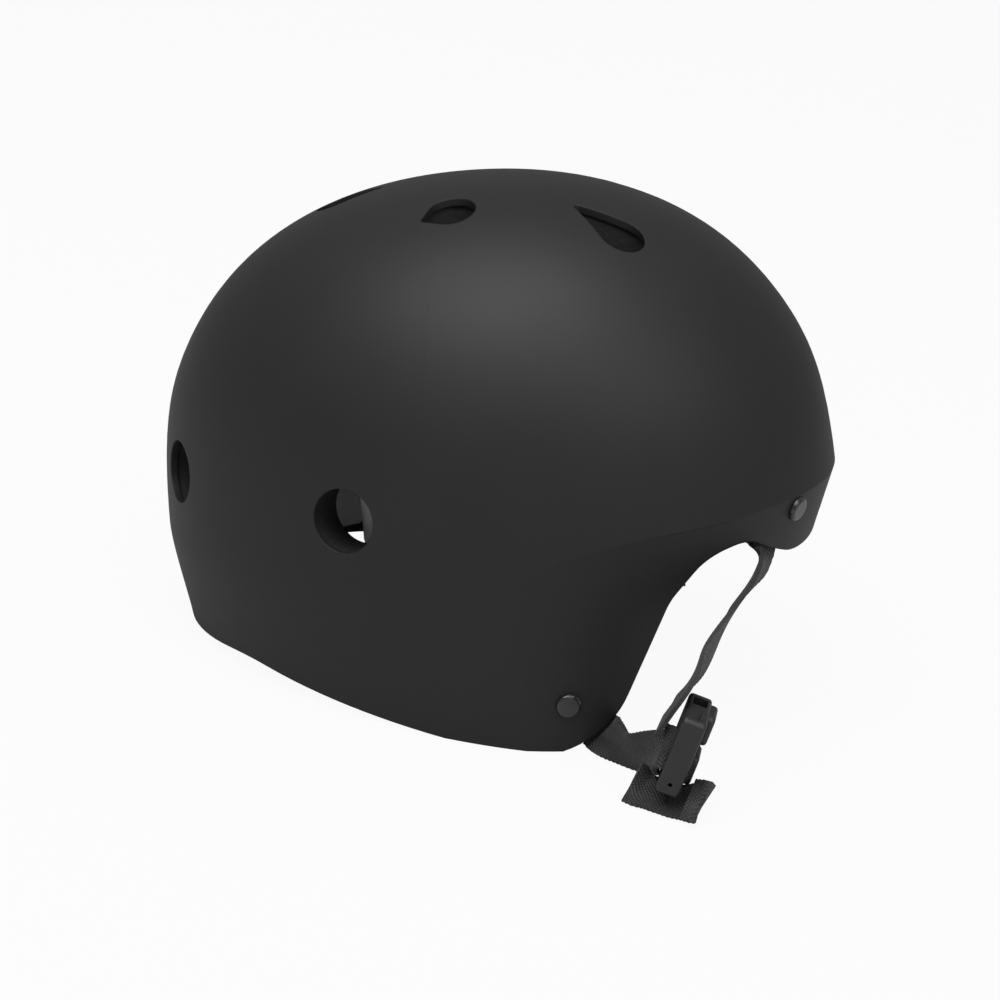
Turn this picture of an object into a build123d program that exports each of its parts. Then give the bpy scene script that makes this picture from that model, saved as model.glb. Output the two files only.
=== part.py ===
from build123d import *
import math
import os

# Skateboard helmet standing on a table on its brow and both ear flaps.
# Millimetres and degrees. +X is the wearer's left, +Y the rear, +Z up, and the
# origin lies on the table under the middle of the dome.
# The helmet is drawn upright about the centre of its dome, then leaned forward
# by the angle at which it stands. The straps are drawn where they lie.

# Shell
SHELL_LENGTH = 264.0
SHELL_WIDTH = 211.0
CROWN_HEIGHT = 122.5
SHELL_WALL = 3.0
DOME_POWER = 2.25
STAND_LEAN = 11.5
STAND_HEIGHT = 65.2

# How the shell draws in below its widest level: a bend, then a straight taper,
# and a steeper rear that starts at a crease
TAPER_SHARE = 0.15
TAPER_BEND = 22.0
REAR_LEAN = 20.1
REAR_LEVEL = 6.7
REAR_RADIUS = 136.0
FORM_DEPTH = 96.0
FORM_STEP = 4.0
ARCH_SHARES = (0.3, 0.55, 0.75, 0.88, 0.96)

# Rim, seen from the side: brow line, ear flap, ear arch and nape edge
BROW_RIM = -42.0
BROW_BEND_Y = -84.0
FLAP_TIP_Y = 50.0
FLAP_TIP_Z = -81.6
ARCH_Y = 80.0
ARCH_Z = -20.5
ARCH_TOP_Y = 93.5
ARCH_TOP_Z = -6.0
NAPE_SHOULDER_Y = 107.0
NAPE_SHOULDER_Z = -3.6
NAPE_RIM_Y = 119.0
NAPE_RIM = -19.0
BROW_BEND_RADIUS = 70.0
FLAP_RADIUS = 33.0
ARCH_RADIUS = 25.0
ARCH_TOP_RADIUS = 20.0
NAPE_SHOULDER_RADIUS = 8.0
NAPE_RADIUS = 8.0
CUT_REACH = 160.0

# Vents: a ring of five drop-shaped ones on the crown (place in plan, heading of
# the tip, length and heel radius) and four round ones
CROWN_VENTS = {
    "middle": (0.0, -49.0, 90.0, 27.0, 9.0),
    "side": (36.5, -1.0, 302.0, 21.0, 9.0),
    "rear": (30.0, 57.0, 244.0, 29.0, 8.6),
}
VENT_TIP_RADIUS = 1.6
ROUND_VENT_RADIUS = 12.0
TEMPLE_VENT_Y = -33.0
TEMPLE_VENT_Z = 19.0
BROW_VENT_X = 54.0
BROW_VENT_Z = 23.5
VENT_DEPTH = 60.0
LINER_VENT_MARGIN = 1.0

# Foam liner and the head cavity
LINER_GAP = 0.3
LINER_SETBACK = 4.0
CAVITY_LENGTH = 216.0
CAVITY_HEIGHT = 100.0

# Comfort pads and their hook-and-loop patches
PAD_THICKNESS = 9.0
PATCH_THICKNESS = 1.2
PATCH_GAP = 0.3
PATCH_SIZE = 16.0
PAD_CORNER = 9.0
PATCH_CORNER = 3.0
BROW_PAD_WIDTH = 116.0
BROW_PAD_HEIGHT = 28.0
BROW_PAD_Z = -20.0
NAPE_PAD_WIDTH = 84.0
NAPE_PAD_HEIGHT = 24.0
NAPE_PAD_Z = 10.0
SIDE_PAD_LENGTH = 74.0
SIDE_PAD_HEIGHT = 46.0
SIDE_PAD_Y = 4.0
SIDE_PAD_Z = 8.0
CROWN_PAD_RADIUS = 24.0
CROWN_PAD_Y = 6.0
PATCH_SPREAD_SHARE = 0.3

# Strap rivets: a domed cap outside, a washer inside, the webbing between them
RIVET_CAP_RADIUS = 4.8
RIVET_CAP_HEIGHT = 1.9
RIVET_EDGE = 1.4
RIVET_SHANK_RADIUS = 2.0
RIVET_FIT = 0.1
WASHER_RADIUS = 5.6
WASHER_THICKNESS = 1.0
FLAP_RIVET_Y = 42.7
FLAP_RIVET_Z = -55.3
NAPE_RIVET_X = 36.0
NAPE_RIVET_Z = 1.2
POCKET_RADIUS = 11.8
POCKET_MARGIN = 1.0
WALL_TO_WEBBING = 1.7
STACK_GAP = 0.3

# Webbing, and where it leaves the helmet on the wearer's left
WEBBING_WIDTH = 16.0
WEBBING_THICKNESS = 1.6
ANCHOR_TAIL = 4.4
FLAP_EXIT = (79.8, 63.6, 7.8)
NAPE_EXIT = (42.5, 108.4, 77.8)
FLAP_EXIT_ACROSS = (-0.33, 0.6, 0.73)
NAPE_EXIT_ACROSS = (0.84, -0.54, 0.05)

# Routes of the webbing where it lies: each station has a place and the direction
# across the webbing
LEFT_FRONT_ROUTE = [
    ((81.8, 65.8, 6.8), (-0.2, 0.62, 0.76)),
    ((89.0, 70.8, 8.5), (0.15, 0.35, 0.92)),
    ((97.0, 79.5, 8.8), (0.5, 0.1, 0.82)),
    ((104.5, 86.4, 13.3), (0.27, 0.06, 0.96)),
    ((111.0, 90.8, 17.6), (0.06, 0.2, 0.97)),
    ((116.4, 92.2, 21.6), (0.0, 0.215, 0.977)),
    ((119.8, 92.9, 24.0), (0.0, 0.215, 0.977)),
    ((121.4, 95.0, 24.8), (0.0, 0.215, 0.977)),
    ((121.6, 99.6, 23.9), (0.0, 0.215, 0.977)),
    ((121.3, 104.5, 22.9), (0.0, 0.215, 0.977)),
]
LEFT_NAPE_ROUTE = [
    ((43.7, 109.1, 75.7), (0.85, -0.45, 0.25)),
    ((48.0, 110.4, 71.8), (0.8, -0.1, 0.55)),
    ((56.0, 109.4, 68.6), (0.66, 0.15, 0.72)),
    ((70.0, 106.6, 64.0), (0.49, 0.37, 0.79)),
    ((97.0, 100.4, 51.0), (0.47, 0.04, 0.88)),
    ((110.0, 96.8, 43.6), (0.75, 0.3, 0.6)),
    ((114.6, 93.2, 36.0), (0.94, 0.14, 0.3)),
    ((114.2, 89.7, 28.4), (0.97, 0.1, 0.2)),
]
LEFT_TAIL_ROUTE = [
    ((117.5, 83.1, 7.0), (-0.66, 0.35, 0.67)),
    ((117.4, 84.4, 6.4), (-0.72, 0.33, 0.61)),
    ((117.1, 87.3, 4.6), (-0.89, 0.22, 0.37)),
    ((117.4, 90.6, 4.0), (-0.94, 0.14, 0.31)),
    ((118.4, 94.8, 3.8), (-0.95, 0.1, 0.29)),
    ((119.7, 99.5, 4.1), (-0.94, 0.12, 0.32)),
    ((121.8, 104.7, 5.9), (-0.8, 0.27, 0.54)),
    ((123.7, 108.3, 7.0), (-0.66, 0.34, 0.67)),
    ((124.7, 109.5, 7.7), (-0.66, 0.34, 0.67)),
    ((125.9, 109.4, 8.6), (-0.66, 0.34, 0.67)),
    ((126.1, 108.1, 8.9), (-0.66, 0.34, 0.67)),
    ((125.0, 104.6, 8.4), (-0.7, 0.32, 0.64)),
]
RIGHT_FRONT_ROUTE = [
    ((-79.0, 64.0, 6.6), (0.25, 0.63, 0.73)),
    ((-66.0, 57.8, 8.4), (0.166, 0.667, 0.724)),
    ((-48.0, 52.2, 9.4), (0.22, 0.65, 0.72)),
    ((-31.6, 47.3, 10.6), (0.418, 0.571, 0.704)),
]
RIGHT_NAPE_ROUTE = [
    ((-42.6, 107.4, 76.2), (0.92, 0.3, 0.15)),
    ((-40.2, 91.4, 56.6), (0.965, -0.04, 0.252)),
    ((-37.0, 70.6, 35.5), (0.965, -0.04, 0.252)),
    ((-35.0, 55.0, 20.0), (0.965, -0.04, 0.252)),
]
CHIN_ROUTE = [
    ((-29.8, 46.4, 10.3), (0.418, 0.571, 0.704)),
    ((-17.0, 40.0, 8.6), (0.6, 0.65, 0.45)),
    ((-6.5, 31.0, 6.0), (0.88, 0.45, 0.12)),
    ((0.8, 20.0, 4.6), (0.98, 0.15, 0.0)),
    ((2.0, 10.0, 4.4), (1.0, 0.0, 0.0)),
    ((2.0, 6.0, 4.4), (1.0, 0.0, 0.0)),
]

# Doubled part of the chin strap round the bar of the plug
CHIN_X = 2.0
CHIN_LEVEL = 4.4
TAIL_LEVEL = 2.4
BAR_LEVEL = 4.8
CHIN_TURN_Y = 6.0
CHIN_RISE_Y = -42.0
CHIN_FALL_Y = -56.0
FOLD_EASE = 8.0
BAR_Y = -60.0
CHIN_TAIL_Y = -4.0

# Buckle: side-release socket on the left strap, plug on the chin strap
BUCKLE_PLACE = (121.6, 99.6, 23.9)
BUCKLE_INWARD = (-0.998, -0.065, 0.014)
BUCKLE_FACE = (0.0665, -0.975, 0.2146)
BUCKLE_WIDTH = 31.0
BUCKLE_THICKNESS = 8.6
BUCKLE_ROUND = 1.4
SOCKET_END = 6.3
SOCKET_MOUTH = 18.7
SLOT_WIDTH = 19.0
SLOT_LENGTH = 4.6
MOUTH_WIDTH = 25.0
MOUTH_HEIGHT = 5.4
MOUTH_DEPTH = 14.0
WINDOW_LENGTH = 6.5
WINDOW_SETBACK = 4.0
LOBE_WIDTH = 12.0
LOBE_LENGTH = 13.0
LOBE_RAISE = 2.8
LOBE_SPACING = 16.5
TAB_LENGTH = 4.0
TAB_RAISE = 2.2
PIN_RADIUS = 0.8
PIN_SETBACK = 5.0
BAR_RADIUS = 1.3
ARM_WIDTH = 5.5
ARM_LENGTH = 5.8
BASE_LENGTH = 8.0
PRONG_LENGTH = 14.0
PRONG_WIDTH = 3.8
PRONG_HEIGHT = 4.6
PRONG_SPREAD = 10.0
BARB_LENGTH = 4.5
BARB_REACH = 1.6
GUIDE_WIDTH = 3.2
GUIDE_LENGTH = 11.0

# Keeper ring over both layers of the chin strap
KEEPER_Y = -28.0
KEEPER_LENGTH = 8.0
KEEPER_WALL = 1.1
KEEPER_FIT = 0.4

OVAL = SHELL_WIDTH / SHELL_LENGTH
HALF_LENGTH = SHELL_LENGTH / 2
STAND = Pos(0, 0, STAND_HEIGHT) * Rot(STAND_LEAN, 0, 0)
LINER_INSET = SHELL_WALL + LINER_GAP
ANCHOR_DEPTH = SHELL_WALL + WALL_TO_WEBBING + WEBBING_THICKNESS / 2
WASHER_DEPTH = ANCHOR_DEPTH + WEBBING_THICKNESS / 2 + STACK_GAP + WASHER_THICKNESS / 2
STACK_DEPTH = WASHER_DEPTH + WASHER_THICKNESS / 2


def widen(shape):
    """A shape of the oval helmet as it is while the helmet is still drawn round."""
    return scale(Compound(children=[shape]), by=(1 / OVAL, 1, 1))


def finish(shape):
    """Stand the round helmet on the table and press it to its oval width."""
    return scale(Compound(children=[STAND * shape]), by=(OVAL, 1, 1))


def arch(radius, height, bend):
    """Half of the dome's arch from its top down to the widest level or a bend below."""
    points = [(0, height)]
    for share in ARCH_SHARES:
        points.append((radius * share, height * (1 - share**DOME_POWER) ** (1 / DOME_POWER)))
    points.append((radius, 0))
    if bend:
        points.append((radius - TAPER_SHARE * bend / 2, -bend))
        return Spline(*points, tangents=[(1, 0), (-TAPER_SHARE, -1)])
    return Spline(*points, tangents=[(1, 0), (0, -1)])


def turned(outline_edges):
    """Solid of revolution from edges drawn in the plane of the arch."""
    return revolve(Plane.XZ * make_face(outline_edges), Axis.Z)


def form(inset, depth):
    """Outside of the shell drawn inwards by an inset, round and down to a depth."""
    radius = HALF_LENGTH - inset
    height = CROWN_HEIGHT - inset
    top = arch(radius, height, TAPER_BEND)
    low = top @ 1
    foot = (low.X - TAPER_SHARE * (depth - TAPER_BEND), -depth)
    edges = [top, Line(low, foot), Line(foot, (0, -depth)), Line((0, -depth), (0, height))]
    rear_radius = REAR_RADIUS - inset
    middle = radius - rear_radius / math.cos(math.radians(REAR_LEAN))
    rear = Pos(0, middle, REAR_LEVEL) * Rot(-REAR_LEAN, 0, 0) * Cylinder(rear_radius, 3 * CUT_REACH)
    above = Pos(0, 0, REAR_LEVEL + CUT_REACH) * Cylinder(CUT_REACH, 2 * CUT_REACH)
    return turned(edges) & (rear + above)


def cavity(inset):
    """Space for the head, less an inset: a dome over straight walls, drawn round."""
    radius = CAVITY_LENGTH / 2 - inset
    height = CAVITY_HEIGHT - inset
    edges = [
        arch(radius, height, 0),
        Line((radius, 0), (radius, -FORM_DEPTH - FORM_STEP)),
        Line((radius, -FORM_DEPTH - FORM_STEP), (0, -FORM_DEPTH - FORM_STEP)),
        Line((0, -FORM_DEPTH - FORM_STEP), (0, height)),
    ]
    return turned(edges)


def rim_cutter(raised):
    """Everything below the rim line, the same from side to side."""
    outline = [
        (-CUT_REACH, BROW_RIM + raised),
        (BROW_BEND_Y, BROW_RIM + raised),
        (FLAP_TIP_Y, FLAP_TIP_Z + raised),
        (ARCH_Y, ARCH_Z + raised),
        (ARCH_TOP_Y, ARCH_TOP_Z + raised),
        (NAPE_SHOULDER_Y, NAPE_SHOULDER_Z + raised),
        (NAPE_RIM_Y, NAPE_RIM + raised),
        (CUT_REACH, NAPE_RIM + raised),
    ]
    radii = [BROW_BEND_RADIUS, FLAP_RADIUS, ARCH_RADIUS]
    radii += [ARCH_TOP_RADIUS, NAPE_SHOULDER_RADIUS, NAPE_RADIUS]
    rim = FilletPolyline(*outline, radius=radii)
    below = Polyline(outline[-1], (CUT_REACH, -CUT_REACH), (-CUT_REACH, -CUT_REACH), outline[0])
    return extrude(Plane.YZ * make_face([*rim.edges(), *below.edges()]), CUT_REACH, both=True)


def reach_at(level):
    """Distance from the dome's axis to its round outside at a level, and its slope."""
    share = level / CROWN_HEIGHT
    full = 1 - share**DOME_POWER
    reach = HALF_LENGTH * full ** (1 / DOME_POWER)
    return reach, -reach / full * share ** (DOME_POWER - 1) / CROWN_HEIGHT


def outside_plane(across, along, level, slope):
    """Plane on the shell's outside, its normal outwards and its X axis level."""
    round_across = across / OVAL
    reach = math.hypot(round_across, along)
    normal = Vector(round_across / OVAL / reach, along / reach, -slope)
    return Plane((across, along, level), x_dir=Vector(0, 0, 1).cross(normal), z_dir=normal)


def round_vent_planes():
    """Planes of the left temple vent and the left brow vent."""
    reach, slope = reach_at(TEMPLE_VENT_Z)
    across = OVAL * math.sqrt(reach**2 - TEMPLE_VENT_Y**2)
    temple = outside_plane(across, TEMPLE_VENT_Y, TEMPLE_VENT_Z, slope)
    reach, slope = reach_at(BROW_VENT_Z)
    along = -math.sqrt(reach**2 - (BROW_VENT_X / OVAL) ** 2)
    return temple, outside_plane(BROW_VENT_X, along, BROW_VENT_Z, slope)


def drop_outline(length, radius):
    """Drop shape whose tip lies on +X and whose round heel lies on -X."""
    heel = Pos(radius - length / 2, 0) * Circle(radius)
    tip = Pos(length / 2 - VENT_TIP_RADIUS, 0) * Circle(VENT_TIP_RADIUS)
    return make_hull([*heel.edges(), *tip.edges()])


def both_sides(shape):
    """A shape and its mirror image on the wearer's other side."""
    return [shape, mirror(shape, Plane.YZ)]


def vent_cutters(margin):
    """Cutters of all nine vents, widened by a margin, for the round helmet."""
    cutters = []
    for name, (across, along, turn, length, radius) in CROWN_VENTS.items():
        drop = Pos(across, along) * Rot(0, 0, turn) * drop_outline(length + 2 * margin, radius + margin)
        cutter = extrude(widen(drop), CUT_REACH)
        cutters += [cutter] if name == "middle" else both_sides(cutter)
    for place in round_vent_planes():
        cutters += both_sides(widen(place * Cylinder(ROUND_VENT_RADIUS + margin, VENT_DEPTH)))
    return cutters


def rear_axis(level):
    """Where the axis of the leaning rear crosses a level."""
    lean = math.radians(REAR_LEAN)
    return HALF_LENGTH - REAR_RADIUS / math.cos(lean) - math.tan(lean) * (REAR_LEVEL - level)


def rear_plane(across, along, level):
    """Plane on the leaning rear of the shell, given a place on it."""
    lean = math.radians(REAR_LEAN)
    pull = (along - rear_axis(level)) * math.cos(lean) ** 2
    normal = Vector(across / OVAL**2, pull, -pull * math.tan(lean))
    return Plane((across, along, level), x_dir=Vector(0, 0, 1).cross(normal), z_dir=normal)


def rivet_planes():
    """Planes of the left flap rivet and the left nape rivet on the shell's outside."""
    lean = math.cos(math.radians(REAR_LEAN))
    behind = (FLAP_RIVET_Y - rear_axis(FLAP_RIVET_Z)) * lean
    flap_across = OVAL * math.sqrt(REAR_RADIUS**2 - behind**2)
    round_reach = math.sqrt(REAR_RADIUS**2 - (NAPE_RIVET_X / OVAL) ** 2)
    nape_along = rear_axis(NAPE_RIVET_Z) + round_reach / lean
    flap = rear_plane(flap_across, FLAP_RIVET_Y, FLAP_RIVET_Z)
    return flap, rear_plane(NAPE_RIVET_X, nape_along, NAPE_RIVET_Z)


def all_rivets(thing):
    """A thing set at each of the four rivets."""
    things = []
    for place in rivet_planes():
        things += both_sides(place * thing)
    return things


def make_shell():
    """Hard outer shell: one wall from brow to nape, with vents and rivet holes."""
    shell = form(0, FORM_DEPTH) - form(SHELL_WALL, FORM_DEPTH + FORM_STEP) - rim_cutter(0)
    hole = Cylinder(RIVET_SHANK_RADIUS + RIVET_FIT, 4 * SHELL_WALL)
    for cutter in vent_cutters(0) + [widen(hole) for hole in all_rivets(hole)]:
        shell -= cutter
    table = Pos(0, 0, -CUT_REACH / 2) * Box(2 * CUT_REACH, 2 * CUT_REACH, CUT_REACH)
    return finish(shell - STAND.inverse() * table)


def strap_ways():
    """Spaces in the liner for the webbing and washers, from each rivet to the rim."""
    depth = STACK_DEPTH + POCKET_MARGIN
    reach = 3 * POCKET_RADIUS
    channel = Pos(reach / 2, 0, 0) * Box(reach, 2 * POCKET_RADIUS, 2 * depth)
    way = Cylinder(POCKET_RADIUS, 2 * depth) + channel
    ways = []
    for place, leave in zip(rivet_planes(), (FLAP_EXIT, NAPE_EXIT)):
        goal = place.to_local_coords((STAND.inverse() * Pos(*leave)).position)
        turn = math.degrees(math.atan2(goal.Y, goal.X))
        ways += both_sides(widen(place * (Rot(0, 0, turn) * way)))
    return ways


def make_liner():
    """Moulded foam liner, with the vents carried through and strap ways."""
    liner = form(LINER_INSET, FORM_DEPTH) - cavity(0) - rim_cutter(LINER_SETBACK)
    for cutter in vent_cutters(LINER_VENT_MARGIN) + strap_ways():
        liner -= cutter
    return finish(liner)


def layer(outer, inner, region):
    """Part of a curved layer that follows the cavity wall, inside a region."""
    return (cavity(outer) - cavity(inner)) & region


def region_at(side, along, level, width, height, corner):
    """Prism through the cavity wall at the brow, the nape or the left side."""
    outline = RectangleRounded(width, height, corner)
    if side == "left":
        return extrude(Plane.YZ * Pos(along, level) * outline, HALF_LENGTH)
    reach = HALF_LENGTH if side == "brow" else -HALF_LENGTH
    return extrude(Plane.XZ * Pos(along / OVAL, level) * outline, reach)


def pad_and_patches(side, level, width, height, along=0):
    """A pad on the cavity wall and the two patches that hold it, drawn round."""
    outer = PATCH_THICKNESS + 2 * PATCH_GAP
    wide = width if side == "left" else width / OVAL
    pad = layer(outer, outer + PAD_THICKNESS, region_at(side, along, level, wide, height, PAD_CORNER))
    patches = []
    for share in (-PATCH_SPREAD_SHARE, PATCH_SPREAD_SHARE):
        region = region_at(side, along + share * width, level, PATCH_SIZE, PATCH_SIZE, PATCH_CORNER)
        patches.append(layer(PATCH_GAP, PATCH_GAP + PATCH_THICKNESS, region))
    return pad, patches


def make_pads():
    """Comfort pads by name and their patches as one group."""
    outer = PATCH_THICKNESS + 2 * PATCH_GAP
    brow, brow_patches = pad_and_patches("brow", BROW_PAD_Z, BROW_PAD_WIDTH, BROW_PAD_HEIGHT)
    nape, nape_patches = pad_and_patches("nape", NAPE_PAD_Z, NAPE_PAD_WIDTH, NAPE_PAD_HEIGHT)
    left, left_patches = pad_and_patches("left", SIDE_PAD_Z, SIDE_PAD_LENGTH, SIDE_PAD_HEIGHT, SIDE_PAD_Y)
    disc = Pos(0, CROWN_PAD_Y, 0) * extrude(widen(Circle(CROWN_PAD_RADIUS)), CROWN_HEIGHT)
    spot = Pos(0, CROWN_PAD_Y, 0) * extrude(Circle(PATCH_SIZE / 2), CROWN_HEIGHT)
    crown = layer(outer, outer + PAD_THICKNESS, disc)
    patches = brow_patches + nape_patches + [layer(PATCH_GAP, PATCH_GAP + PATCH_THICKNESS, spot)]
    for patch in left_patches:
        patches += both_sides(patch)
    left = finish(left)
    parts = {
        "brow_pad": finish(brow),
        "nape_pad": finish(nape),
        "left_side_pad": left,
        "right_side_pad": mirror(left, Plane.YZ),
        "crown_pad": finish(crown),
        "pad_patches": Compound(children=[finish(patch) for patch in patches]),
    }
    return parts


def make_rivet():
    """Domed rivet cap with its shank through shell and webbing."""
    cap = Pos(0, 0, RIVET_CAP_HEIGHT / 2) * Cylinder(RIVET_CAP_RADIUS, RIVET_CAP_HEIGHT)
    cap = fillet(cap.edges().sort_by(Axis.Z)[-1], RIVET_EDGE)
    return cap + Pos(0, 0, -STACK_DEPTH / 2) * Cylinder(RIVET_SHANK_RADIUS, STACK_DEPTH)


def make_washer():
    """Washer that clamps the webbing from inside."""
    washer = Cylinder(WASHER_RADIUS, WASHER_THICKNESS)
    washer -= Cylinder(RIVET_SHANK_RADIUS + RIVET_FIT, WASHER_THICKNESS)
    return Pos(0, 0, -WASHER_DEPTH) * washer


def square(across, along):
    """Part of one direction that stands square to another."""
    across = Vector(*across)
    along = Vector(*along).normalized()
    return across - along * across.dot(along)


def ribbon(stations, ruled=False):
    """Webbing through stations of a place and the direction across its width."""
    points = [Vector(*place) for place, _ in stations]
    sections = []
    for index, (_, across) in enumerate(stations):
        before = points[max(index - 1, 0)]
        after = points[min(index + 1, len(points) - 1)]
        plane = Plane(points[index], x_dir=square(across, after - before), z_dir=after - before)
        sections.append(plane * Rectangle(WEBBING_WIDTH, WEBBING_THICKNESS))
    return loft(sections, ruled=ruled)


def make_anchor(place, leave, across):
    """Fixed end of a strap: from behind its rivet to the rim, where it comes out."""
    standing = STAND * place.location
    outwards = Plane(standing).z_dir
    behind = standing.position - outwards * ANCHOR_DEPTH
    way = square(tuple(Vector(*leave) - behind), tuple(outwards)).normalized()
    over = tuple(outwards.cross(way))
    places = [behind - way * ANCHOR_TAIL, behind, behind + way * ANCHOR_TAIL / 2]
    stations = [(tuple(place), over) for place in places] + [(leave, across)]
    hole = standing * Cylinder(RIVET_SHANK_RADIUS + RIVET_FIT, 4 * ANCHOR_DEPTH)
    return ribbon(stations) - hole


def make_chin_strap():
    """Chin strap: twists flat, goes round the bar of the plug and doubles back."""
    fold = BAR_LEVEL - TAIL_LEVEL
    lead = FilletPolyline(
        (CHIN_TURN_Y, CHIN_LEVEL),
        (CHIN_RISE_Y, CHIN_LEVEL),
        (CHIN_FALL_Y, BAR_LEVEL + fold),
        (BAR_Y, BAR_LEVEL + fold),
        radius=FOLD_EASE,
    )
    turn = ThreePointArc((BAR_Y, BAR_LEVEL + fold), (BAR_Y - fold, BAR_LEVEL), (BAR_Y, TAIL_LEVEL))
    tail = Line((BAR_Y, TAIL_LEVEL), (CHIN_TAIL_Y, TAIL_LEVEL))
    path = Pos(CHIN_X, 0, 0) * (Plane.YZ * Wire([*lead.edges(), turn, tail]))
    start = Plane((CHIN_X, CHIN_TURN_Y, CHIN_LEVEL), x_dir=(1, 0, 0), z_dir=(0, -1, 0))
    doubled = sweep(start * Rectangle(WEBBING_WIDTH, WEBBING_THICKNESS), path)
    return ribbon(CHIN_ROUTE) + doubled


def rounded_plate(start, end):
    """Buckle body between two places along it, with rounded corners and edges."""
    outline = RectangleRounded(end - start, BUCKLE_WIDTH, 2 * BUCKLE_ROUND)
    plate = extrude(outline, BUCKLE_THICKNESS / 2, both=True)
    return Pos((start + end) / 2, 0, 0) * fillet(plate.edges().filter_by(Axis.Z, reverse=True), BUCKLE_ROUND)


def make_socket():
    """Female side of the buckle: end bar, webbing slot, mouth and side windows."""
    socket = rounded_plate(-SOCKET_END, SOCKET_MOUTH)
    lobe = Box(LOBE_LENGTH, LOBE_WIDTH, 2 * LOBE_RAISE)
    lobe = fillet(lobe.edges().filter_by(Axis.Z), 2 * BUCKLE_ROUND)
    lobe = fillet(lobe.faces().sort_by(Axis.Z)[0].edges(), BUCKLE_ROUND)
    lobe_x = SOCKET_MOUTH - BUCKLE_ROUND - LOBE_LENGTH / 2
    for side in (-1, 1):
        socket += Pos(lobe_x, side * LOBE_SPACING / 2, -BUCKLE_THICKNESS / 2) * lobe
    tab = Box(TAB_LENGTH, 2 * TAB_RAISE, TAB_RAISE)
    socket += Pos(-SOCKET_END + TAB_LENGTH, -BUCKLE_WIDTH / 2, -TAB_RAISE) * tab
    socket -= Box(SLOT_LENGTH, SLOT_WIDTH, 2 * BUCKLE_THICKNESS)
    mouth = Box(MOUTH_DEPTH, MOUTH_WIDTH, MOUTH_HEIGHT)
    socket -= Pos(SOCKET_MOUTH - MOUTH_DEPTH / 2, 0, 0) * mouth
    window_x = SOCKET_MOUTH - WINDOW_SETBACK - WINDOW_LENGTH / 2
    socket -= Pos(window_x, 0, 0) * Box(WINDOW_LENGTH, 2 * BUCKLE_WIDTH, MOUTH_HEIGHT)
    pin = Rot(0, 90, 0) * Cylinder(PIN_RADIUS, SOCKET_END)
    socket -= Pos(-SOCKET_END, BUCKLE_WIDTH / 2 - PIN_SETBACK, 0) * pin
    return Plane(BUCKLE_PLACE, x_dir=BUCKLE_INWARD, z_dir=BUCKLE_FACE) * socket


def make_plug():
    """Male side of the buckle: bar for the webbing, base, two prongs and a guide."""
    back = -BAR_RADIUS - BUCKLE_ROUND
    front = ARM_LENGTH + BASE_LENGTH
    plug = rounded_plate(back, front)
    opening = ARM_LENGTH - 2 * back
    plug -= Pos(ARM_LENGTH - opening / 2, 0, 0) * Box(opening, SLOT_WIDTH, 2 * BUCKLE_THICKNESS)
    plug += Rot(90, 0, 0) * Cylinder(BAR_RADIUS, SLOT_WIDTH + BUCKLE_ROUND)
    inner = PRONG_SPREAD - PRONG_WIDTH / 2
    outer = PRONG_SPREAD + PRONG_WIDTH / 2
    tip = front + PRONG_LENGTH
    points = [
        (front - BUCKLE_ROUND, inner),
        (tip, inner),
        (tip, outer),
        (tip - BARB_LENGTH, outer + BARB_REACH),
        (tip - BARB_LENGTH, outer),
        (front - BUCKLE_ROUND, outer),
    ]
    prong = extrude(make_face(Polyline(*points, close=True)), PRONG_HEIGHT / 2, both=True)
    plug += prong + mirror(prong, Plane.XZ)
    guide = Box(GUIDE_LENGTH, GUIDE_WIDTH, PRONG_HEIGHT)
    plug += Pos(front - BUCKLE_ROUND + GUIDE_LENGTH / 2, 0, 0) * guide
    return Plane((CHIN_X, BAR_Y, BAR_LEVEL), x_dir=(0, -1, 0), z_dir=(0, 0, 1)) * plug


def make_keeper():
    """Ring that holds the two layers of the chin strap together."""
    low = TAIL_LEVEL - WEBBING_THICKNESS / 2 - KEEPER_FIT
    high = CHIN_LEVEL + WEBBING_THICKNESS / 2 + KEEPER_FIT
    width = WEBBING_WIDTH + 2 * KEEPER_FIT
    ring = Box(width + 2 * KEEPER_WALL, KEEPER_LENGTH, high - low + 2 * KEEPER_WALL)
    ring = fillet(ring.edges().filter_by(Axis.Y), KEEPER_WALL)
    ring -= Box(width, 2 * KEEPER_LENGTH, high - low)
    return Pos(CHIN_X, KEEPER_Y, (low + high) / 2) * ring


def make_straps():
    """Webbing, buckle halves and keeper by name."""
    flap, nape = rivet_planes()
    front_anchor = make_anchor(flap, FLAP_EXIT, FLAP_EXIT_ACROSS)
    nape_anchor = make_anchor(nape, NAPE_EXIT, NAPE_EXIT_ACROSS)
    return {
        "left_front_anchor": front_anchor,
        "right_front_anchor": mirror(front_anchor, Plane.YZ),
        "left_nape_anchor": nape_anchor,
        "right_nape_anchor": mirror(nape_anchor, Plane.YZ),
        "left_front_strap": ribbon(LEFT_FRONT_ROUTE, ruled=True),
        "left_nape_strap": ribbon(LEFT_NAPE_ROUTE),
        "left_strap_tail": ribbon(LEFT_TAIL_ROUTE, ruled=True),
        "right_front_strap": ribbon(RIGHT_FRONT_ROUTE),
        "right_nape_strap": ribbon(RIGHT_NAPE_ROUTE),
        "buckle_socket": make_socket(),
        "chin_strap": make_chin_strap(),
        "buckle_plug": make_plug(),
        "strap_keeper": make_keeper(),
    }


def build_all():
    parts = {"outer_shell": make_shell(), "foam_liner": make_liner()}
    parts.update(make_pads())
    parts["strap_rivets"] = STAND * Compound(children=all_rivets(make_rivet()))
    parts["rivet_washers"] = STAND * Compound(children=all_rivets(make_washer()))
    parts.update(make_straps())
    return parts


os.makedirs("parts", exist_ok=True)
for node, shape in build_all().items():
    export_step(shape, f"parts/{node}.step")
    print(node, round(shape.volume), "mm3")
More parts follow.
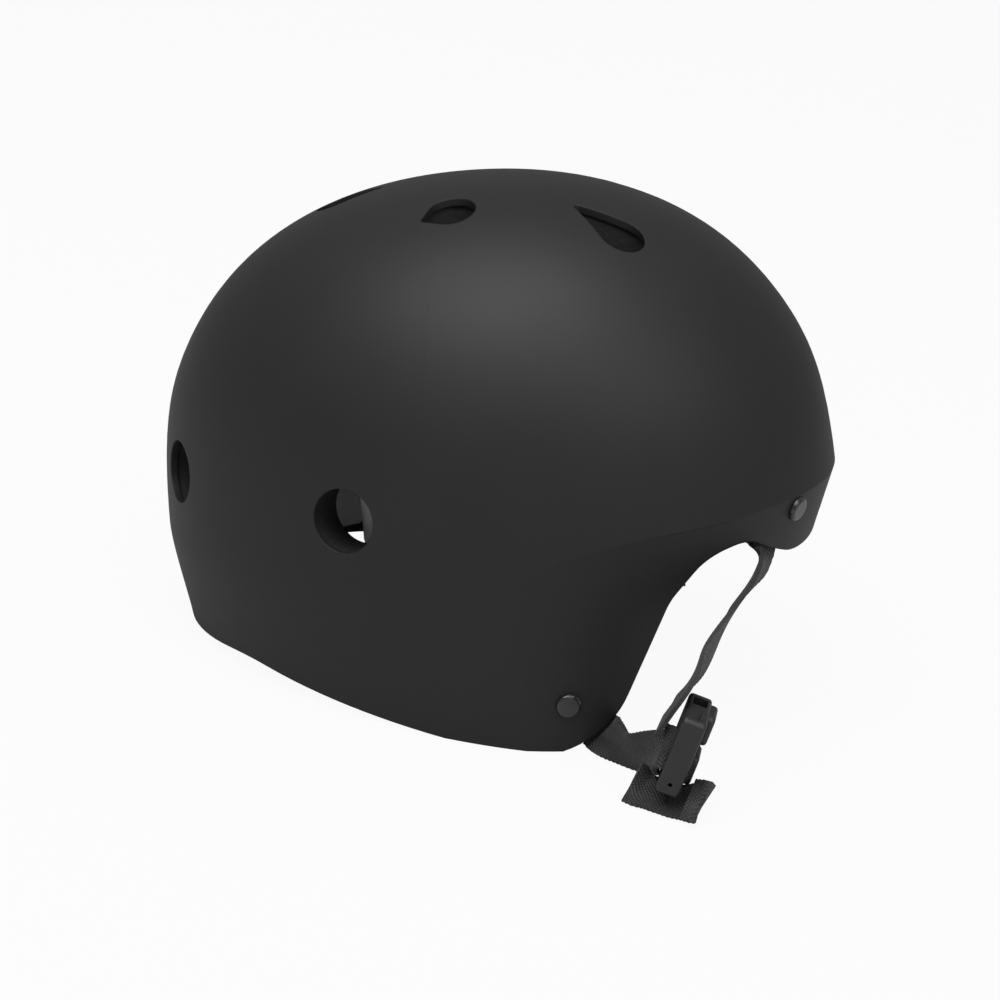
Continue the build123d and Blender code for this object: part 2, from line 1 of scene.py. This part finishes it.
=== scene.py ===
# %% [markdown]
# A skateboard helmet, dressed over its CAD frame.
#
# The frame gives every solid its place. The rigid pieces keep their CAD shapes and
# take a finish here. The soft ones, which are the cushions, their patches and the
# woven straps, are made anew in the place of their solids. Lengths are in metres,
# the helmet stands on the floor at z = 0, its brow towards -Y and the wearer's left
# towards +X.

# %% load the frame
import bpy
import math
import numpy as np
from mathutils import Matrix, Vector


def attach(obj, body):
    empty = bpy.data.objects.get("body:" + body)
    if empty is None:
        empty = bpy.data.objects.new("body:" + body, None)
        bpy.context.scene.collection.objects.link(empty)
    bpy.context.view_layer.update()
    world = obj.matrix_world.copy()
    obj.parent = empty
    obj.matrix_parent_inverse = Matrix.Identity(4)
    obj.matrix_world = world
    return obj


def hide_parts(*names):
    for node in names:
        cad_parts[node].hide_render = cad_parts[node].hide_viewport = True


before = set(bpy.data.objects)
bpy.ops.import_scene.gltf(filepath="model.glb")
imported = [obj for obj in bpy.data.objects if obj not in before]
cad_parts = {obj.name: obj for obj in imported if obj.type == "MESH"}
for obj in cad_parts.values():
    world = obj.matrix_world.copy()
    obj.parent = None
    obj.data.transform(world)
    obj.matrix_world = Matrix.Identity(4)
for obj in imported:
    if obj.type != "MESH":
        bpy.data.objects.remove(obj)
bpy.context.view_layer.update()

# %% [markdown]
# Operators act on whatever is selected, so each step starts from nothing
# selected. These small helpers keep that in one place.

# %% selecting, applying and editing
def only(obj):
    """Select one object and make it the active one."""
    bpy.ops.object.select_all(action="DESELECT")
    obj.select_set(True)
    bpy.context.view_layer.objects.active = obj
    return obj


def start_piece(name):
    """Name the primitive that was just added and keep it active."""
    obj = bpy.context.active_object
    obj.name = name
    obj.data.name = name
    return only(obj)


def finish_modifier(obj, kind, **settings):
    """Add a modifier with its settings and apply it."""
    only(obj)
    modifier = obj.modifiers.new(kind.title(), kind)
    for key, value in settings.items():
        setattr(modifier, key, value)
    bpy.ops.object.modifier_apply(modifier=modifier.name)


def mesh_points(obj):
    """Vertex places of a piece as an array."""
    places = np.empty(len(obj.data.vertices) * 3)
    obj.data.vertices.foreach_get("co", places)
    return places.reshape(-1, 3)


def edit_all(obj):
    """Open a piece in edit mode with all of it selected."""
    only(obj)
    bpy.ops.object.mode_set(mode="EDIT")
    bpy.ops.mesh.select_all(action="SELECT")


def leave_edit():
    """Go back to object mode."""
    bpy.ops.object.mode_set(mode="OBJECT")


# %% [markdown]
# Shader maths reads best as plain expressions. A thin wrapper round a socket
# turns + - * into Math nodes, and one method adds any other node.

# %% shader expressions
class Value:
    """A socket of a node tree that can be used in arithmetic."""

    def __init__(self, tree, socket):
        self.tree = tree
        self.socket = socket

    def maths(self, operation, *others):
        return node(self.tree, "ShaderNodeMath", {"operation": operation}, [self, *others])

    def __add__(self, other):
        return self.maths("ADD", other)

    def __radd__(self, other):
        return self.maths("ADD", other)

    def __sub__(self, other):
        return self.maths("SUBTRACT", other)

    def __rsub__(self, other):
        return self.maths("MULTIPLY", -1.0).maths("ADD", other)

    def __mul__(self, other):
        return self.maths("MULTIPLY", other)

    def __rmul__(self, other):
        return self.maths("MULTIPLY", other)


def plug_in(tree, socket, given):
    """Link a value to a socket, or set the socket to a number or colour."""
    if isinstance(given, Value):
        tree.links.new(given.socket, socket)
    else:
        socket.default_value = given


def node(tree, kind, settings=None, sockets=None, output=0):
    """Add a node with its settings and its sockets' values; returns one output."""
    made = tree.nodes.new(kind)
    for key, value in (settings or {}).items():
        setattr(made, key, value)
    pairs = enumerate(sockets) if isinstance(sockets, (list, tuple)) else (sockets or {}).items()
    for key, given in pairs:
        plug_in(tree, made.inputs[key], given)
    return Value(tree, made.outputs[output])


# %% materials and what goes into them
MIX_FACTOR, MIX_FIRST, MIX_SECOND, MIX_RESULT = 0, 6, 7, 2
BLUE_SHARE = 1.02
BEVEL_SAMPLES = 6


def new_material(name):
    """A material with one Principled shader; returns material, tree and shader."""
    material = bpy.data.materials.new(name)
    material.use_nodes = True
    tree = material.node_tree
    print("finish:", name)
    return material, tree, tree.nodes["Principled BSDF"]


def set_shader(tree, shader, **values):
    """Set or link the shader's sockets by name, with _ for a space."""
    for key, given in values.items():
        plug_in(tree, shader.inputs[key.replace("_", " ")], given)


def object_place(tree):
    """The place on the object, in metres."""
    return node(tree, "ShaderNodeTexCoord", output="Object")


def noise(tree, scale, detail=2.0, roughness=0.5):
    """Noise over the object, in lumps per metre."""
    sockets = {"Vector": object_place(tree), "Scale": scale, "Detail": detail, "Roughness": roughness}
    return node(tree, "ShaderNodeTexNoise", {}, sockets)


def bump(tree, height, distance, strength=1.0, edge=0.0):
    """Bump from a height; with an edge radius, cut edges catch light as rounded ones do."""
    sockets = {"Height": height, "Distance": distance, "Strength": strength}
    if edge:
        sockets["Normal"] = node(tree, "ShaderNodeBevel", {"samples": BEVEL_SAMPLES}, {"Radius": edge})
    return node(tree, "ShaderNodeBump", {}, sockets)


def mixed(tree, factor, first, second):
    """Blend of two colours by a factor, by the numbers of a Mix node's colour sockets."""
    sockets = {MIX_FACTOR: factor, MIX_FIRST: first, MIX_SECOND: second}
    return node(tree, "ShaderNodeMix", {"data_type": "RGBA"}, sockets, MIX_RESULT)


def grey(level):
    """A grey with a trace more blue, as black plastic and cloth have."""
    return (level, level, level * BLUE_SHARE, 1.0)


# %% [markdown]
# The shell is ABS with a fine matt spray finish: nearly black, with a soft broad
# sheen and a faint orange-peel grain that breaks the highlight up. Real cut edges
# are a little rounded, and the bump's edge radius gives the sharp CAD edges that
# look without a change of shape.

# %% shell finish
shell_paint, tree, shader = new_material("shell_paint")
grain = noise(tree, scale=2600.0, detail=3.0, roughness=0.6)
cloud = noise(tree, scale=22.0)
set_shader(
    tree, shader,
    Base_Color=mixed(tree, cloud, grey(0.0125), grey(0.0165)),
    Roughness=0.50 + 0.08 * cloud,
    Specular_IOR_Level=0.4,
    Normal=bump(tree, grain, distance=0.00004, strength=0.5, edge=0.0009),
)

# %% [markdown]
# Expanded foam is made of beads pressed together, so it takes a cell pattern
# with shallow grooves between the beads.

# %% foam finish
BEADS_PER_METRE = 320.0

foam_skin, tree, shader = new_material("foam_skin")
bead_sockets = {"Vector": object_place(tree), "Scale": BEADS_PER_METRE}
cells = node(tree, "ShaderNodeTexVoronoi", {"feature": "DISTANCE_TO_EDGE"}, bead_sockets)
set_shader(
    tree, shader,
    Base_Color=mixed(tree, 0.35 * cells + 0.2, grey(0.016), grey(0.030)),
    Roughness=0.8,
    Normal=bump(tree, cells, distance=0.0004, strength=0.6),
)

# %% [markdown]
# Comfort pads are brushed polyester over soft foam: light grey, with a short nap
# that shows as a fine speckle and a soft edge sheen. The patches that hold them
# are black hook-and-loop tape, rough and dull.

# %% pad fabric
pad_cloth, tree, shader = new_material("pad_cloth")
nap = noise(tree, scale=1800.0, detail=4.0, roughness=0.7)
patchy = noise(tree, scale=60.0)
set_shader(
    tree, shader,
    Base_Color=mixed(tree, 0.6 * nap + 0.4 * patchy, grey(0.52), grey(0.70)),
    Roughness=0.9,
    Sheen_Weight=0.4,
    Sheen_Roughness=0.4,
    Normal=bump(tree, nap, distance=0.0003, strength=0.5),
)

# %% hook-and-loop
patch_cloth, tree, shader = new_material("patch_cloth")
hooks = noise(tree, scale=1500.0, roughness=0.7)
set_shader(
    tree, shader,
    Base_Color=mixed(tree, hooks, grey(0.012), grey(0.03)),
    Roughness=0.9,
    Normal=bump(tree, hooks, distance=0.0004, strength=0.8),
)

# %% [markdown]
# The buckle and keeper are acetal, a little lighter and smoother than the shell.
# Rivet caps are glossy, and the washers behind them are zinc plated.

# %% buckle finish
buckle_plastic, tree, shader = new_material("buckle_plastic")
moulding = noise(tree, scale=900.0, detail=3.0)
wear = noise(tree, scale=140.0, detail=3.0)
set_shader(
    tree, shader,
    Base_Color=mixed(tree, wear, grey(0.016), grey(0.028)),
    Roughness=0.36 + 0.14 * wear,
    Normal=bump(tree, moulding, distance=0.00005, strength=0.5, edge=0.0005),
)

# %% rivet finish
rivet_gloss, tree, shader = new_material("rivet_gloss")
scuff = noise(tree, scale=500.0, detail=4.0)
set_shader(
    tree, shader,
    Base_Color=mixed(tree, scuff, grey(0.012), grey(0.03)),
    Roughness=0.12 + 0.14 * scuff,
    Coat_Weight=0.5,
    Normal=bump(tree, scuff, distance=0.00003, strength=0.3, edge=0.0006),
)

# %% washer finish
zinc, tree, shader = new_material("zinc")
brushed = noise(tree, scale=700.0, detail=5.0)
set_shader(
    tree, shader,
    Base_Color=mixed(tree, brushed, grey(0.45), grey(0.6)),
    Metallic=1.0,
    Roughness=0.3 + 0.2 * brushed,
)

# %% [markdown]
# The shell, liner, rivets, washers, buckle and keeper are rigid, and their CAD
# shapes are right, so they stay and only take a finish.

# %% finishes on the CAD nodes that stay in view
FINISHES = {
    "outer_shell": shell_paint,
    "foam_liner": foam_skin,
    "strap_rivets": rivet_gloss,
    "rivet_washers": zinc,
    "buckle_socket": buckle_plastic,
    "buckle_plug": buckle_plastic,
    "strap_keeper": buckle_plastic,
}
for name, finish in FINISHES.items():
    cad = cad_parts[name]
    cad.data.materials.clear()
    cad.data.materials.append(finish)
print("finished nodes:", len(FINISHES))

# %% [markdown]
# The pads and patches are made anew. Each starts as a copy of its CAD solid, with
# its points merged, because a CAD mesh is loose triangles. Then it is remeshed
# into even faces and smoothed, so that its cut edges roll over.

# %% copies and dressing
MERGE_GAP = 0.00001
SMOOTHING = 0.5


def own_copy(node_name, name):
    """A merged copy of a CAD node's mesh as a piece of its own."""
    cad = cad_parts[node_name]
    piece = bpy.data.objects.new(name, cad.data.copy())
    bpy.context.scene.collection.objects.link(piece)
    edit_all(piece)
    bpy.ops.mesh.remove_doubles(threshold=MERGE_GAP)
    leave_edit()
    return piece


def soft_copy(node_name, name, voxel, roll_steps):
    """A copy of a CAD node in even faces, with its edges rolled over."""
    piece = own_copy(node_name, name)
    finish_modifier(piece, "REMESH", mode="VOXEL", voxel_size=voxel)
    finish_modifier(piece, "SMOOTH", factor=SMOOTHING, iterations=roll_steps)
    return piece


def shade_smooth(obj):
    """Shade a piece as one smooth surface."""
    only(obj)
    bpy.ops.object.shade_smooth()


def dress(piece, body, replaced, finish):
    """Give a piece its finish and its body, and hide the CAD node that it stands for."""
    piece.data.materials.clear()
    piece.data.materials.append(finish)
    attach(piece, body)
    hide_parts(replaced)
    print(piece.name, "triangles:", sum(len(face.vertices) - 2 for face in piece.data.polygons))


# %% [markdown]
# Each comfort pad is a die-cut slab of soft foam in brushed cloth, which rolls
# over at its cut edges. The side that meets the head is crowned by moving its
# points, most in the middle, and a shallow seam is sunk round the edge.

# %% pads
PAD_VOXEL = 0.0022
PAD_ROLL_STEPS = 9
PAD_CROWN = 0.0022
PAD_SQUARENESS = 3
PAD_SEAM_DEPTH = 0.0006
PAD_SEAM_SHARE = 0.80
PAD_SEAM_WIDTH_SHARE = 0.05
HEAD_MIDDLE = np.array([0.0, 0.0, 0.075])


def crown_pad_mesh(pad):
    """Swell the head side of a pad and sink its seam."""
    places = mesh_points(pad)
    normals = np.empty(len(pad.data.vertices) * 3)
    pad.data.vertices.foreach_get("normal", normals)
    normals = normals.reshape(-1, 3)
    middle = (places.min(axis=0) + places.max(axis=0)) / 2
    inward = (HEAD_MIDDLE - middle) / np.linalg.norm(HEAD_MIDDLE - middle)
    away = places - middle
    lateral = away - np.outer(away @ inward, inward)
    _, _, axes = np.linalg.svd(lateral - lateral.mean(axis=0), full_matrices=False)
    reach = np.abs(lateral @ axes[:2].T)
    powers = (reach / reach.max(axis=0)) ** PAD_SQUARENESS
    share = powers.sum(axis=1) ** (1 / PAD_SQUARENESS)
    facing = np.clip(normals @ inward, 0, 1)
    swell = PAD_CROWN * np.clip(1 - share ** 2, 0, 1)
    seam = PAD_SEAM_DEPTH * np.exp(-(((share - PAD_SEAM_SHARE) / PAD_SEAM_WIDTH_SHARE) ** 2))
    moved = places + inward * ((swell - seam) * facing)[:, None]
    pad.data.vertices.foreach_set("co", moved.ravel())
    pad.data.update()


for pad_name in ("brow_pad", "nape_pad", "left_side_pad", "right_side_pad", "crown_pad"):
    pad = soft_copy(pad_name, pad_name.replace("pad", "cushion"), PAD_VOXEL, PAD_ROLL_STEPS)
    crown_pad_mesh(pad)
    shade_smooth(pad)
    dress(pad, "helmet", pad_name, pad_cloth)

# %% [markdown]
# The hook-and-loop patches behind the pads are thin felted squares. They take
# smaller faces than the pads and only a few smoothing steps, because they are
# barely over a millimetre thick.

# %% patches
PATCH_VOXEL = 0.0006
PATCH_ROLL_STEPS = 3

patches = soft_copy("pad_patches", "hook_patches", PATCH_VOXEL, PATCH_ROLL_STEPS)
shade_smooth(patches)
dress(patches, "helmet", "pad_patches", patch_cloth)

# %% [markdown]
# Webbing is woven flat, so its fabric never stretches sideways: it only bends and
# twists. A strip is a fine grid whose rows are laid across a route, and it keeps
# its own UV map in millimetres, along and across. The weave in the finish follows
# that map: ribs along the webbing, picks across it and a slanting twill over both.

# %% webbing weave
TURN = 2 * math.pi
RIB_TURNS_PER_MM = 0.72
PICK_TURNS_PER_MM = 0.62
WEAVE_MAP = "weave"


def ripple(place, turns_per_mm):
    """A sine wave over a place in millimetres."""
    return (place * (TURN * turns_per_mm)).maths("SINE")


webbing_weave, tree, shader = new_material("webbing_weave")
strip_place = node(tree, "ShaderNodeUVMap", {"uv_map": WEAVE_MAP})
along = node(tree, "ShaderNodeSeparateXYZ", {}, [strip_place], "X")
across = node(tree, "ShaderNodeSeparateXYZ", {}, [strip_place], "Y")
rib = ripple(across, RIB_TURNS_PER_MM)
pick = ripple(along, PICK_TURNS_PER_MM)
twill = ripple(along + across, PICK_TURNS_PER_MM)
dots = 0.5 + 0.25 * (rib * pick) + 0.25 * twill
fuzz = noise(tree, scale=3000.0, detail=3.0, roughness=0.6)
set_shader(
    tree, shader,
    Base_Color=mixed(tree, 0.75 * dots + 0.25 * fuzz, grey(0.003), grey(0.028)),
    Roughness=0.62 - 0.14 * dots,
    Sheen_Weight=0.15,
    Normal=bump(tree, dots + 0.3 * fuzz, distance=0.0004, strength=0.9),
)

# %% [markdown]
# A route is read from a few stations, each a place and the direction across the
# webbing, both in millimetres. A smooth curve runs through them, and it is cut
# into even steps so that the weave keeps its size.

# %% reading a route
ROW_STEP = 0.9
LEAST_ROWS = 8
LENGTH_STEPS = 400
CURVE_STEPS = 1200


def unit_rows(rows):
    """Each row as a direction of length one."""
    return rows / np.linalg.norm(rows, axis=1)[:, None]


def run_along(places):
    """Distance from the start to each place of a route."""
    return np.concatenate([[0], np.cumsum(np.linalg.norm(np.diff(places, axis=0), axis=1))])


def through(stations, count):
    """Smooth places and across-directions along a route of stations."""
    points = np.array([place for place, _ in stations], float)
    sides = unit_rows(np.array([side for _, side in stations], float))
    rows = np.hstack([points, sides])
    padded = np.vstack([2 * rows[0] - rows[1], rows, 2 * rows[-1] - rows[-2]])
    knots = np.linspace(0, len(rows) - 1, count)
    index = np.minimum(knots.astype(int), len(rows) - 2)
    t = (knots - index)[:, None]
    a, b, c, d = (padded[index + k] for k in range(4))
    laid = b + 0.5 * t * (c - a + t * (2 * a - 5 * b + 4 * c - d + t * (3 * (b - c) + d - a)))
    return laid[:, :3], laid[:, 3:]


def even_rows(stations):
    """Places, across-directions and distances at even steps along a route."""
    rough, _ = through(stations, LENGTH_STEPS)
    count = max(int(run_along(rough)[-1] / ROW_STEP), LEAST_ROWS)
    fine, fine_sides = through(stations, CURVE_STEPS)
    run = run_along(fine)
    even = np.linspace(0, run[-1], count + 1)
    places = np.stack([np.interp(even, run, column) for column in fine.T], axis=1)
    sides = np.stack([np.interp(even, run, column) for column in fine_sides.T], axis=1)
    way = unit_rows(np.gradient(places, axis=0))
    sides = unit_rows(sides - way * (sides * way).sum(axis=1)[:, None])
    return places, sides, even


# %% [markdown]
# The grid is bent onto the route and made as thick as webbing is. Its two edges
# are nicked, row by row, where the weft turns round.

# %% laying a strip
MM = 0.001
WEBBING_HALF = 8.0
WEBBING_THICKNESS = 1.6
COLUMNS = 10
NICK = 0.14
EDGE_SHARE = 0.999
SHARP_TURN = math.radians(50)


def write_weave(strip, along, across):
    """Keep the places along and across the webbing, in millimetres, as its UV map."""
    uv = strip.data.uv_layers.active
    uv.name = WEAVE_MAP
    corner = np.empty(len(strip.data.loops), int)
    strip.data.loops.foreach_get("vertex_index", corner)
    pattern = np.stack([along[corner], across[corner]], axis=1)
    uv.data.foreach_set("uv", pattern.ravel())


def lay_webbing(name, stations):
    """A strip of webbing as a grid bent along its route, with its thickness."""
    places, sides, even = even_rows(stations)
    count = len(even) - 1
    bpy.ops.object.select_all(action="DESELECT")
    bpy.ops.mesh.primitive_grid_add(x_subdivisions=COLUMNS, y_subdivisions=count, size=2.0)
    strip = start_piece(name)
    flat = mesh_points(strip)
    row = np.rint((flat[:, 1] + 1) / 2 * count).astype(int)
    share = flat[:, 0]
    edge = np.abs(share) > EDGE_SHARE
    offset = share * WEBBING_HALF
    offset += np.sign(share) * edge * NICK * np.where(row % 2 == 0, 1.0, -1.0)
    bent = (places[row] + sides[row] * offset[:, None]) * MM
    write_weave(strip, even[row], offset)
    strip.data.vertices.foreach_set("co", bent.ravel())
    strip.data.update()
    finish_modifier(strip, "SOLIDIFY", thickness=WEBBING_THICKNESS * MM, offset=0.0)
    edit_all(strip)
    bpy.ops.mesh.normals_make_consistent(inside=False)
    leave_edit()
    bpy.ops.object.shade_smooth_by_angle(angle=SHARP_TURN)
    print(name, "length mm:", round(float(even[-1]), 1))
    return strip


def lay_strap(strap_name, body, stations):
    """A strap on its body, in the place of its CAD node."""
    strip = lay_webbing(strap_name.replace("strap", "webbing"), stations)
    dress(strip, body, strap_name, webbing_weave)


# %% [markdown]
# The stations are the CAD routes. The left pair of straps lies outside the shell.
# Its front and nape straps meet at the buckle socket, and the free end comes out
# behind the socket and turns back on itself in a hem.

# %% left straps
lay_strap("left_front_strap", "left_straps", [
    ((79.8, 63.6, 7.3), (-0.33, 0.6, 0.73)),
    ((81.8, 65.8, 6.8), (-0.2, 0.62, 0.76)),
    ((89.0, 70.8, 8.5), (0.15, 0.35, 0.92)),
    ((97.0, 79.5, 8.8), (0.5, 0.1, 0.82)),
    ((104.5, 86.4, 13.3), (0.27, 0.06, 0.96)),
    ((111.0, 90.8, 17.6), (0.06, 0.2, 0.97)),
    ((116.4, 92.2, 21.6), (0.0, 0.215, 0.977)),
    ((119.8, 92.9, 24.0), (0.0, 0.215, 0.977)),
    ((121.4, 95.0, 24.8), (0.0, 0.215, 0.977)),
    ((121.6, 99.6, 23.9), (0.0, 0.215, 0.977)),
    ((121.3, 104.5, 22.9), (0.0, 0.215, 0.977)),
])
lay_strap("left_nape_strap", "left_straps", [
    ((42.4, 108.5, 78.0), (0.84, -0.54, 0.05)),
    ((43.7, 109.1, 75.7), (0.85, -0.45, 0.25)),
    ((48.0, 110.4, 71.8), (0.8, -0.1, 0.55)),
    ((56.0, 109.4, 68.6), (0.66, 0.15, 0.72)),
    ((70.0, 106.6, 64.0), (0.49, 0.37, 0.79)),
    ((97.0, 100.4, 51.0), (0.47, 0.04, 0.88)),
    ((110.0, 96.8, 43.6), (0.75, 0.3, 0.6)),
    ((114.6, 93.2, 36.0), (0.94, 0.14, 0.3)),
    ((114.2, 89.7, 28.4), (0.97, 0.1, 0.2)),
])
lay_strap("left_strap_tail", "left_straps", [
    ((117.5, 83.1, 7.0), (-0.66, 0.35, 0.67)),
    ((117.4, 84.4, 6.4), (-0.72, 0.33, 0.61)),
    ((117.1, 87.3, 4.6), (-0.89, 0.22, 0.37)),
    ((117.4, 90.6, 4.0), (-0.94, 0.14, 0.31)),
    ((118.4, 94.8, 3.8), (-0.95, 0.1, 0.29)),
    ((119.7, 99.5, 4.1), (-0.94, 0.12, 0.32)),
    ((121.8, 104.7, 5.9), (-0.8, 0.27, 0.54)),
    ((123.7, 108.3, 7.0), (-0.66, 0.34, 0.67)),
    ((124.7, 109.5, 7.7), (-0.66, 0.34, 0.67)),
    ((125.9, 109.4, 8.6), (-0.66, 0.34, 0.67)),
    ((126.1, 108.1, 8.9), (-0.66, 0.34, 0.67)),
    ((125.0, 104.6, 8.4), (-0.7, 0.32, 0.64)),
])

# %% [markdown]
# The right pair is folded inside the shell, as it falls when the helmet is put
# down.

# %% right straps
lay_strap("right_front_strap", "right_straps", [
    ((-80.2, 64.6, 7.0), (0.3, 0.62, 0.73)),
    ((-79.0, 64.0, 6.6), (0.25, 0.63, 0.73)),
    ((-66.0, 57.8, 8.4), (0.166, 0.667, 0.724)),
    ((-48.0, 52.2, 9.4), (0.22, 0.65, 0.72)),
    ((-31.6, 47.3, 10.6), (0.418, 0.571, 0.704)),
])
lay_strap("right_nape_strap", "right_straps", [
    ((-42.6, 107.4, 76.2), (0.92, 0.3, 0.15)),
    ((-40.2, 91.4, 56.6), (0.965, -0.04, 0.252)),
    ((-37.0, 70.6, 35.5), (0.965, -0.04, 0.252)),
    ((-35.0, 55.0, 20.0), (0.965, -0.04, 0.252)),
])

# %% [markdown]
# The chin strap goes on from the right pair to the bar of the buckle plug, round
# the bar and back underneath itself through the keeper.

# %% chin strap
lay_strap("chin_strap", "chin", [
    ((-29.8, 46.4, 10.3), (0.418, 0.571, 0.704)),
    ((-17.0, 40.0, 8.6), (0.6, 0.65, 0.45)),
    ((-6.5, 31.0, 6.0), (0.88, 0.45, 0.12)),
    ((0.8, 20.0, 4.6), (0.98, 0.15, 0.0)),
    ((2.0, 10.0, 4.4), (1.0, 0.0, 0.0)),
    ((2.0, -14.0, 4.4), (1.0, 0.0, 0.0)),
    ((2.0, -38.0, 4.4), (1.0, 0.0, 0.0)),
    ((2.0, -48.0, 5.4), (1.0, 0.0, 0.0)),
    ((2.0, -56.0, 7.0), (1.0, 0.0, 0.0)),
    ((2.0, -60.0, 7.2), (1.0, 0.0, 0.0)),
    ((2.0, -61.7, 6.5), (1.0, 0.0, 0.0)),
    ((2.0, -62.4, 4.8), (1.0, 0.0, 0.0)),
    ((2.0, -61.7, 3.1), (1.0, 0.0, 0.0)),
    ((2.0, -60.0, 2.4), (1.0, 0.0, 0.0)),
    ((2.0, -56.0, 2.4), (1.0, 0.0, 0.0)),
    ((2.0, -30.0, 2.4), (1.0, 0.0, 0.0)),
    ((2.0, -4.0, 2.4), (1.0, 0.0, 0.0)),
])

# %% [markdown]
# Each strap starts from a webbing end that is riveted behind the shell and comes
# out at the rim. The ends don't move, so they ride on the helmet, and the right
# ones mirror the left.

# %% webbing ends under the rivets
ANCHORS = {
    "front_anchor": [
        ((88.3, 47.43, 22.67), (-0.24, 0.59, 0.77)),
        ((86.59, 50.39, 19.9), (-0.24, 0.59, 0.77)),
        ((85.73, 51.87, 18.51), (-0.24, 0.59, 0.77)),
        ((79.8, 63.6, 7.8), (-0.33, 0.6, 0.73)),
    ],
    "nape_anchor": [
        ((31.57, 115.66, 94.9), (0.76, -0.25, 0.59)),
        ((33.79, 114.15, 91.41), (0.76, -0.25, 0.59)),
        ((34.9, 113.39, 89.67), (0.76, -0.25, 0.59)),
        ((42.5, 108.4, 77.8), (0.84, -0.54, 0.05)),
    ],
}


def mirrored(stations):
    """The same route on the other side of the helmet."""
    return [((-x, y, z), (-a, b, c)) for (x, y, z), (a, b, c) in stations]


for anchor_name, stations in ANCHORS.items():
    for side, route in (("left_", stations), ("right_", mirrored(stations))):
        webbing_end = lay_webbing(side + anchor_name.replace("anchor", "webbing_end"), route)
        dress(webbing_end, "helmet", side + anchor_name, webbing_weave)

# %% [markdown]
# The photograph looks along the wearer's left side from a little behind and
# above, with the camera rolled a few degrees. Its place, turn and lens were
# worked out from the helmet's outline, so they are given as plain numbers.

# %% camera
EYE = Vector((1.01642, 0.19233, 0.43923))
LOOK = Vector((-0.924, -0.1748, -0.34)).normalized()
RIGHT = Vector((-0.225, 0.9677, 0.1137))
RIGHT = (RIGHT - LOOK * RIGHT.dot(LOOK)).normalized()
UP = RIGHT.cross(LOOK)
SENSOR_MM = 36.0
LENS_MM = 100.98
SHIFT_X = 0.00116
SHIFT_Y = -0.01609

bpy.ops.object.select_all(action="DESELECT")
bpy.ops.object.camera_add()
camera = bpy.context.active_object
camera.matrix_world = Matrix.Translation(EYE) @ Matrix((RIGHT, UP, -LOOK)).transposed().to_4x4()
camera.data.sensor_width = SENSOR_MM
camera.data.lens = LENS_MM
camera.data.shift_x = SHIFT_X
camera.data.shift_y = SHIFT_Y
bpy.context.scene.camera = camera
print("camera at", [round(x, 3) for x in EYE])

# %% [markdown]
# The floor and the sky look white to the camera, because it meets plain white
# light there. To every other ray they are a pale studio, so they give the object
# no more light than one does, and the floor keeps a little of its shadow.

# %% floor
FLOOR_SIZE = 6.0
FLOOR_LEVEL = 0.6
FLOOR_WHITE_SHARE = 0.94
WHITE = (1.0, 1.0, 1.0, 1.0)

bpy.ops.object.select_all(action="DESELECT")
bpy.ops.mesh.primitive_plane_add(size=FLOOR_SIZE)
floor = start_piece("floor")
floor_paper, tree, shader = new_material("floor_paper")
set_shader(tree, shader, Base_Color=grey(FLOOR_LEVEL), Roughness=0.9)
camera_sees = node(tree, "ShaderNodeLightPath", output="Is Camera Ray")
white = node(tree, "ShaderNodeEmission", {}, {"Color": WHITE, "Strength": 1.0})
paper = Value(tree, shader.outputs[0])
surface = node(tree, "ShaderNodeMixShader", {}, [FLOOR_WHITE_SHARE * camera_sees, paper, white])
plug_in(tree, tree.nodes["Material Output"].inputs[0], surface)
floor.data.materials.append(floor_paper)

# %% sky
SKY_LIGHT = 0.28

world = bpy.data.worlds.new("studio")
bpy.context.scene.world = world
world.use_nodes = True
tree = world.node_tree
camera_sees = node(tree, "ShaderNodeLightPath", output="Is Camera Ray")
sky = tree.nodes["Background"]
plug_in(tree, sky.inputs["Color"], WHITE)
plug_in(tree, sky.inputs["Strength"], SKY_LIGHT + (1.0 - SKY_LIGHT) * camera_sees)
print("floor and sky made")

# %% [markdown]
# Two broad soft boxes light the helmet: a key above its brow and near side, and a
# weaker fill from behind, which keep the sheen on the dome wide and soft.

# %% lamps
LAMP_AIM = Vector((0, 0, 0.1))


def soft_box(name, place, size, power):
    """Area lamp aimed at the helmet."""
    bpy.ops.object.select_all(action="DESELECT")
    bpy.ops.object.light_add(type="AREA", location=place)
    lamp = bpy.context.active_object
    lamp.name = name
    lamp.data.shape = "DISK"
    lamp.data.size = size
    lamp.data.energy = power
    aim = LAMP_AIM - Vector(place)
    lamp.rotation_euler = aim.to_track_quat("-Z", "Y").to_euler()


soft_box("key", place=(0.55, -0.25, 1.6), size=1.5, power=21.0)
soft_box("fill", place=(0.9, 1.1, 1.2), size=1.4, power=7.0)
print("studio lit")

# %% colour view
bpy.context.scene.view_settings.view_transform = "Standard"
